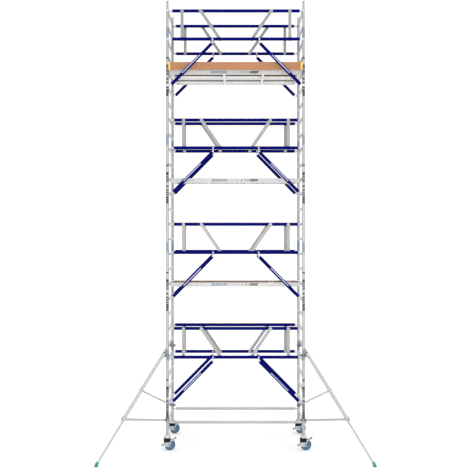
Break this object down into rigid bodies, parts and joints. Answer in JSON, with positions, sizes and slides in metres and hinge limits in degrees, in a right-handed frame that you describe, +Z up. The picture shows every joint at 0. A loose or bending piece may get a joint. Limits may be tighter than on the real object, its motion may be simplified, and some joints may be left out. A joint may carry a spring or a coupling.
{
  "type": "mobile tower scaffold",
  "caption": "Tall rolling aluminium access tower with ladder end frames, blue guardrail frames, platforms with hatches, toe boards, swivel castors and telescopic stabilisers.",
  "frame": {"origin": "on the floor, under the middle of the tower, where the wheels and feet stand", "axes": "+X along the platforms to the right seen from the front, +Y from the front to the rear, +Z up the tower"},
  "size_m": [4.807, 3.62, 8.209],
  "materials": {
    "aluminium_tube": "satin mill finish",
    "stabiliser_aluminium": "satin mill finish",
    "deck_aluminium": "satin extrusion",
    "blue_paint": "semi-gloss powder coat",
    "strut_grey": "satin flat bar",
    "cast_claw": "cast, tumbled",
    "spring_steel": "zinc plated",
    "plywood": "phenolic faced, anti-slip mesh",
    "toe_board": "varnished",
    "yellow_plastic": "moulded",
    "cast_nut": "cast",
    "leg_steel": "zinc plated",
    "fork_steel": "zinc plated pressing",
    "wheel_blue": "moulded polyurethane",
    "foot_rubber": "moulded rubber"
  },
  "bodies": {
    "tower": {"frame_left_1": "aluminium_tube", "frame_left_2": "aluminium_tube", "frame_left_3": "aluminium_tube", "frame_left_4": "aluminium_tube", "frame_right_1": "aluminium_tube", "frame_right_2": "aluminium_tube", "frame_right_3": "aluminium_tube", "frame_right_4": "aluminium_tube", "guardrail_front_1": "blue_paint", "guardrail_front_2": "blue_paint", "guardrail_front_3": "blue_paint", "guardrail_front_4": "blue_paint", "guardrail_rear_1": "blue_paint", "guardrail_rear_2": "blue_paint", "guardrail_rear_3": "blue_paint", "guardrail_rear_4": "blue_paint", "deck_frame_low": "deck_aluminium", "deck_frame_mid": "deck_aluminium", "deck_frame_top_front": "deck_aluminium", "deck_frame_top_rear": "deck_aluminium", "deck_boards": "plywood", "guardrail_struts": "strut_grey", "guardrail_claws": "cast_claw", "frame_clips": "spring_steel", "base_braces": "aluminium_tube", "toe_boards": "toe_board", "toe_board_clips": "yellow_plastic", "leg_nuts": "cast_nut"},
    "leg_front_left": {"castor_leg_front_left": "leg_steel"},
    "castor_front_left": {"castor_fork_front_left": "fork_steel"},
    "wheel_front_left": {"castor_wheel_front_left": "wheel_blue"},
    "brake_front_left": {"castor_brake_front_left": "fork_steel"},
    "stabiliser_front_left": {"stabiliser_brace_front_left": "stabiliser_aluminium"},
    "stabiliser_leg_front_left": {"stabiliser_leg_front_left": "stabiliser_aluminium", "stabiliser_foot_front_left": "foot_rubber"},
    "leg_front_right": {"castor_leg_front_right": "leg_steel"},
    "castor_front_right": {"castor_fork_front_right": "fork_steel"},
    "wheel_front_right": {"castor_wheel_front_right": "wheel_blue"},
    "brake_front_right": {"castor_brake_front_right": "fork_steel"},
    "stabiliser_front_right": {"stabiliser_brace_front_right": "stabiliser_aluminium"},
    "stabiliser_leg_front_right": {"stabiliser_leg_front_right": "stabiliser_aluminium", "stabiliser_foot_front_right": "foot_rubber"},
    "leg_rear_left": {"castor_leg_rear_left": "leg_steel"},
    "castor_rear_left": {"castor_fork_rear_left": "fork_steel"},
    "wheel_rear_left": {"castor_wheel_rear_left": "wheel_blue"},
    "brake_rear_left": {"castor_brake_rear_left": "fork_steel"},
    "stabiliser_rear_left": {"stabiliser_brace_rear_left": "stabiliser_aluminium"},
    "stabiliser_leg_rear_left": {"stabiliser_leg_rear_left": "stabiliser_aluminium", "stabiliser_foot_rear_left": "foot_rubber"},
    "leg_rear_right": {"castor_leg_rear_right": "leg_steel"},
    "castor_rear_right": {"castor_fork_rear_right": "fork_steel"},
    "wheel_rear_right": {"castor_wheel_rear_right": "wheel_blue"},
    "brake_rear_right": {"castor_brake_rear_right": "fork_steel"},
    "stabiliser_rear_right": {"stabiliser_brace_rear_right": "stabiliser_aluminium"},
    "stabiliser_leg_rear_right": {"stabiliser_leg_rear_right": "stabiliser_aluminium", "stabiliser_foot_rear_right": "foot_rubber"},
    "hatch_low": {"hatch_low": "plywood"},
    "hatch_mid": {"hatch_mid": "plywood"},
    "hatch_top": {"hatch_top": "plywood"}
  },
  "joints": [
    {"name": "leg_slide_front_left", "type": "slide", "parent": "tower", "child": "leg_front_left", "axis": [0, 0, -1], "range_m": [0, 0.25]},
    {"name": "castor_swivel_front_left", "type": "hinge", "parent": "leg_front_left", "child": "castor_front_left", "pos_m": [-1.2435, -0.65, 0.206], "axis": [0, 0, 1], "continuous": true},
    {"name": "wheel_spin_front_left", "type": "hinge", "parent": "castor_front_left", "child": "wheel_front_left", "pos_m": [-1.2005, -0.65, 0.1], "axis": [0, 1, 0], "continuous": true},
    {"name": "brake_pedal_front_left", "type": "hinge", "parent": "castor_front_left", "child": "brake_front_left", "pos_m": [-1.22, -0.65, 0.148], "axis": [0, 1, 0], "range_deg": [0, 18]},
    {"name": "stabiliser_swing_front_left", "type": "hinge", "parent": "tower", "child": "stabiliser_front_left", "pos_m": [-1.2435, -0.65, 1], "axis": [0, 0, 1], "range_deg": [-45, 45]},
    {"name": "stabiliser_extend_front_left", "type": "slide", "parent": "stabiliser_front_left", "child": "stabiliser_leg_front_left", "axis": [-0.4645, -0.4645, -0.7539], "range_m": [0, 0.35]},
    {"name": "leg_slide_front_right", "type": "slide", "parent": "tower", "child": "leg_front_right", "axis": [0, 0, -1], "range_m": [0, 0.25]},
    {"name": "castor_swivel_front_right", "type": "hinge", "parent": "leg_front_right", "child": "castor_front_right", "pos_m": [1.2435, -0.65, 0.206], "axis": [0, 0, 1], "continuous": true},
    {"name": "wheel_spin_front_right", "type": "hinge", "parent": "castor_front_right", "child": "wheel_front_right", "pos_m": [1.2865, -0.65, 0.1], "axis": [0, 1, 0], "continuous": true},
    {"name": "brake_pedal_front_right", "type": "hinge", "parent": "castor_front_right", "child": "brake_front_right", "pos_m": [1.267, -0.65, 0.148], "axis": [0, 1, 0], "range_deg": [0, 18]},
    {"name": "stabiliser_swing_front_right", "type": "hinge", "parent": "tower", "child": "stabiliser_front_right", "pos_m": [1.2435, -0.65, 1], "axis": [0, 0, 1], "range_deg": [-45, 45]},
    {"name": "stabiliser_extend_front_right", "type": "slide", "parent": "stabiliser_front_right", "child": "stabiliser_leg_front_right", "axis": [0.4645, -0.4645, -0.7539], "range_m": [0, 0.35]},
    {"name": "leg_slide_rear_left", "type": "slide", "parent": "tower", "child": "leg_rear_left", "axis": [0, 0, -1], "range_m": [0, 0.25]},
    {"name": "castor_swivel_rear_left", "type": "hinge", "parent": "leg_rear_left", "child": "castor_rear_left", "pos_m": [-1.2435, 0.65, 0.206], "axis": [0, 0, 1], "continuous": true},
    {"name": "wheel_spin_rear_left", "type": "hinge", "parent": "castor_rear_left", "child": "wheel_rear_left", "pos_m": [-1.2005, 0.65, 0.1], "axis": [0, 1, 0], "continuous": true},
    {"name": "brake_pedal_rear_left", "type": "hinge", "parent": "castor_rear_left", "child": "brake_rear_left", "pos_m": [-1.22, 0.65, 0.148], "axis": [0, 1, 0], "range_deg": [0, 18]},
    {"name": "stabiliser_swing_rear_left", "type": "hinge", "parent": "tower", "child": "stabiliser_rear_left", "pos_m": [-1.2435, 0.65, 1], "axis": [0, 0, 1], "range_deg": [-45, 45]},
    {"name": "stabiliser_extend_rear_left", "type": "slide", "parent": "stabiliser_rear_left", "child": "stabiliser_leg_rear_left", "axis": [-0.4645, 0.4645, -0.7539], "range_m": [0, 0.35]},
    {"name": "leg_slide_rear_right", "type": "slide", "parent": "tower", "child": "leg_rear_right", "axis": [0, 0, -1], "range_m": [0, 0.25]},
    {"name": "castor_swivel_rear_right", "type": "hinge", "parent": "leg_rear_right", "child": "castor_rear_right", "pos_m": [1.2435, 0.65, 0.206], "axis": [0, 0, 1], "continuous": true},
    {"name": "wheel_spin_rear_right", "type": "hinge", "parent": "castor_rear_right", "child": "wheel_rear_right", "pos_m": [1.2865, 0.65, 0.1], "axis": [0, 1, 0], "continuous": true},
    {"name": "brake_pedal_rear_right", "type": "hinge", "parent": "castor_rear_right", "child": "brake_rear_right", "pos_m": [1.267, 0.65, 0.148], "axis": [0, 1, 0], "range_deg": [0, 18]},
    {"name": "stabiliser_swing_rear_right", "type": "hinge", "parent": "tower", "child": "stabiliser_rear_right", "pos_m": [1.2435, 0.65, 1], "axis": [0, 0, 1], "range_deg": [-45, 45]},
    {"name": "stabiliser_extend_rear_right", "type": "slide", "parent": "stabiliser_rear_right", "child": "stabiliser_leg_rear_right", "axis": [0.4645, 0.4645, -0.7539], "range_m": [0, 0.35]},
    {"name": "hatch_hinge_low", "type": "hinge", "parent": "tower", "child": "hatch_low", "pos_m": [0.835, -0.108, 3.032], "axis": [1, 0, 0], "range_deg": [0, 95]},
    {"name": "hatch_hinge_mid", "type": "hinge", "parent": "tower", "child": "hatch_mid", "pos_m": [-0.835, -0.108, 4.992], "axis": [1, 0, 0], "range_deg": [0, 95]},
    {"name": "hatch_hinge_top", "type": "hinge", "parent": "tower", "child": "hatch_top", "pos_m": [0.835, -0.543, 6.952], "axis": [1, 0, 0], "range_deg": [0, 95]}
  ]
}
